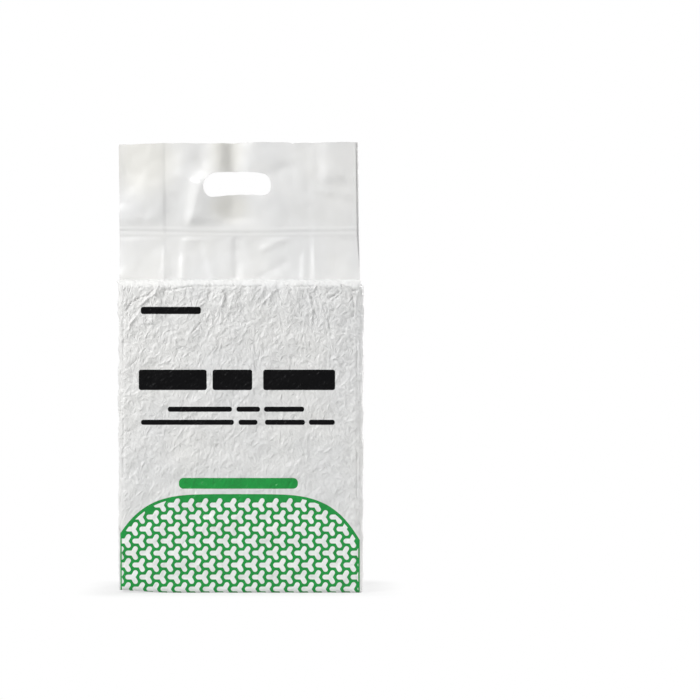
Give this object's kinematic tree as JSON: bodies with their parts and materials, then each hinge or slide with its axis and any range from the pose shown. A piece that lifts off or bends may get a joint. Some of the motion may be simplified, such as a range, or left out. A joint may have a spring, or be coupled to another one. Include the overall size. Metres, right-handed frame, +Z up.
{
  "type": "cat litter bag",
  "caption": "Sealed, vacuum-packed bag of cat litter with side gussets, standing as a firm block under a flat heat-sealed header with a punched hand slot.",
  "frame": {"origin": "middle of the flat foot that the bag stands on", "axes": "+Z up through the header, +X along the front to its right-hand side as seen from the front, the printed front faces -Y"},
  "size_m": [0.2348, 0.0867, 0.4282],
  "materials": {
    "film": "white printed plastic film, satin to glossy, drawn tight over the litter and finely crinkled"
  },
  "bodies": {
    "root": {"litter_bag": "film"}
  },
  "joints": []
}
